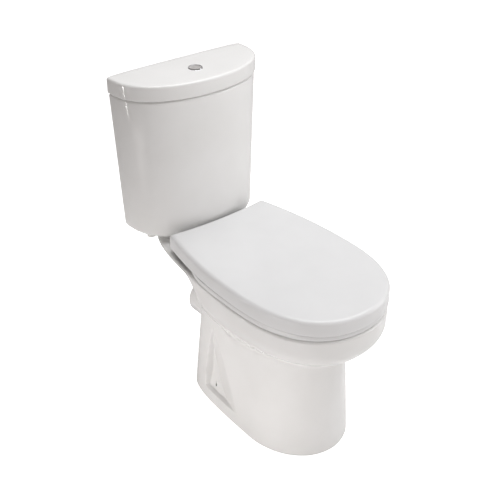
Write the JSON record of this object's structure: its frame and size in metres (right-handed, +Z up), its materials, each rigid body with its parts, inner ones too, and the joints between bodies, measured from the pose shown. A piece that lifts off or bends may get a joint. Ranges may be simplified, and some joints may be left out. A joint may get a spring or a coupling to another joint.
{
  "type": "close coupled toilet",
  "caption": "Close coupled toilet: glazed pan with hinged seat and wrap-over cover, cistern with lift-off lid, push button, flush valve and fill valve.",
  "frame": {"origin": "on the floor, at the middle of the plan box", "axes": "+Z up, +Y towards the wall behind the cistern, +X to the right seen from the front"},
  "size_m": [0.376, 0.665, 0.796],
  "materials": {
    "ceramic": "gloss",
    "seat_plastic": "gloss",
    "hinge_chrome": "polished",
    "zinc_steel": "satin",
    "black_rubber": "matte",
    "buffer_rubber": "matte",
    "button_chrome": "polished",
    "button_satin": "satin",
    "spring_steel": "bright",
    "white_fitting": "satin",
    "blue_fitting": "satin",
    "float_plastic": "satin"
  },
  "bodies": {
    "fixture": {"pan": "ceramic", "cistern_tank": "ceramic", "hinge_post_left": "hinge_chrome", "hinge_post_right": "hinge_chrome", "hinge_pins": "hinge_chrome", "hinge_bolts": "zinc_steel", "hinge_washers": "black_rubber", "hinge_wing_nuts": "zinc_steel", "flush_valve_base": "blue_fitting", "flush_valve_cage": "blue_fitting", "flush_tank_washer": "black_rubber", "flush_back_nut": "white_fitting", "doughnut_washer": "black_rubber", "coupling_plate": "zinc_steel", "coupling_bolts": "zinc_steel", "coupling_washers": "black_rubber", "coupling_wing_nuts": "zinc_steel", "fill_valve_shank": "white_fitting", "fill_washer": "black_rubber", "fill_back_nut": "white_fitting", "fill_riser": "white_fitting", "fill_valve_head": "blue_fitting", "lever_pin": "spring_steel"},
    "ring": {"seat_ring": "seat_plastic", "ring_buffers": "buffer_rubber"},
    "cover": {"seat_cover": "seat_plastic", "cover_buffers": "buffer_rubber"},
    "lid": {"cistern_lid": "ceramic", "button_ring": "button_chrome", "button_nut": "white_fitting"},
    "button": {"button_disc": "button_satin", "button_spring": "spring_steel", "push_rod": "spring_steel"},
    "flush_lift": {"flush_lift_tube": "white_fitting", "flush_seal": "black_rubber"},
    "float": {"float_cup": "float_plastic", "float_rod": "white_fitting"},
    "lever": {"valve_lever": "white_fitting"}
  },
  "joints": [
    {"name": "seat_ring_hinge", "type": "hinge", "parent": "fixture", "child": "ring", "pos_m": [0, 0.153, 0.428], "axis": [-1, 0, 0], "range_deg": [0, 91]},
    {"name": "seat_cover_hinge", "type": "hinge", "parent": "ring", "child": "cover", "pos_m": [0, 0.153, 0.428], "axis": [1, 0, 0], "range_deg": [-91, 0]},
    {"name": "lid_lift", "type": "slide", "parent": "fixture", "child": "lid", "axis": [0, 0, 1], "range_m": [0, 0.06]},
    {"name": "button_press", "type": "slide", "parent": "lid", "child": "button", "axis": [0, 0, -1], "range_m": [0, 0.008], "stiffness_N_per_m": 300, "springref_m": -0.01},
    {"name": "flush_lift", "type": "slide", "parent": "fixture", "child": "flush_lift", "axis": [0, 0, 1], "range_m": [0, 0.016]},
    {"name": "float_drop", "type": "slide", "parent": "fixture", "child": "float", "axis": [0, 0, -1], "range_m": [0, 0.012]},
    {"name": "lever_tilt", "type": "hinge", "parent": "fixture", "child": "lever", "pos_m": [-0.102, 0.282, 0.684], "axis": [0, 1, 0], "range_deg": [0, 25.1]}
  ],
  "couplings": [
    {"joint": "flush_lift", "follows": "button_press", "ratio": 2},
    {"joint": "lever_tilt", "follows": "float_drop", "rad_per_m": 36.361}
  ]
}
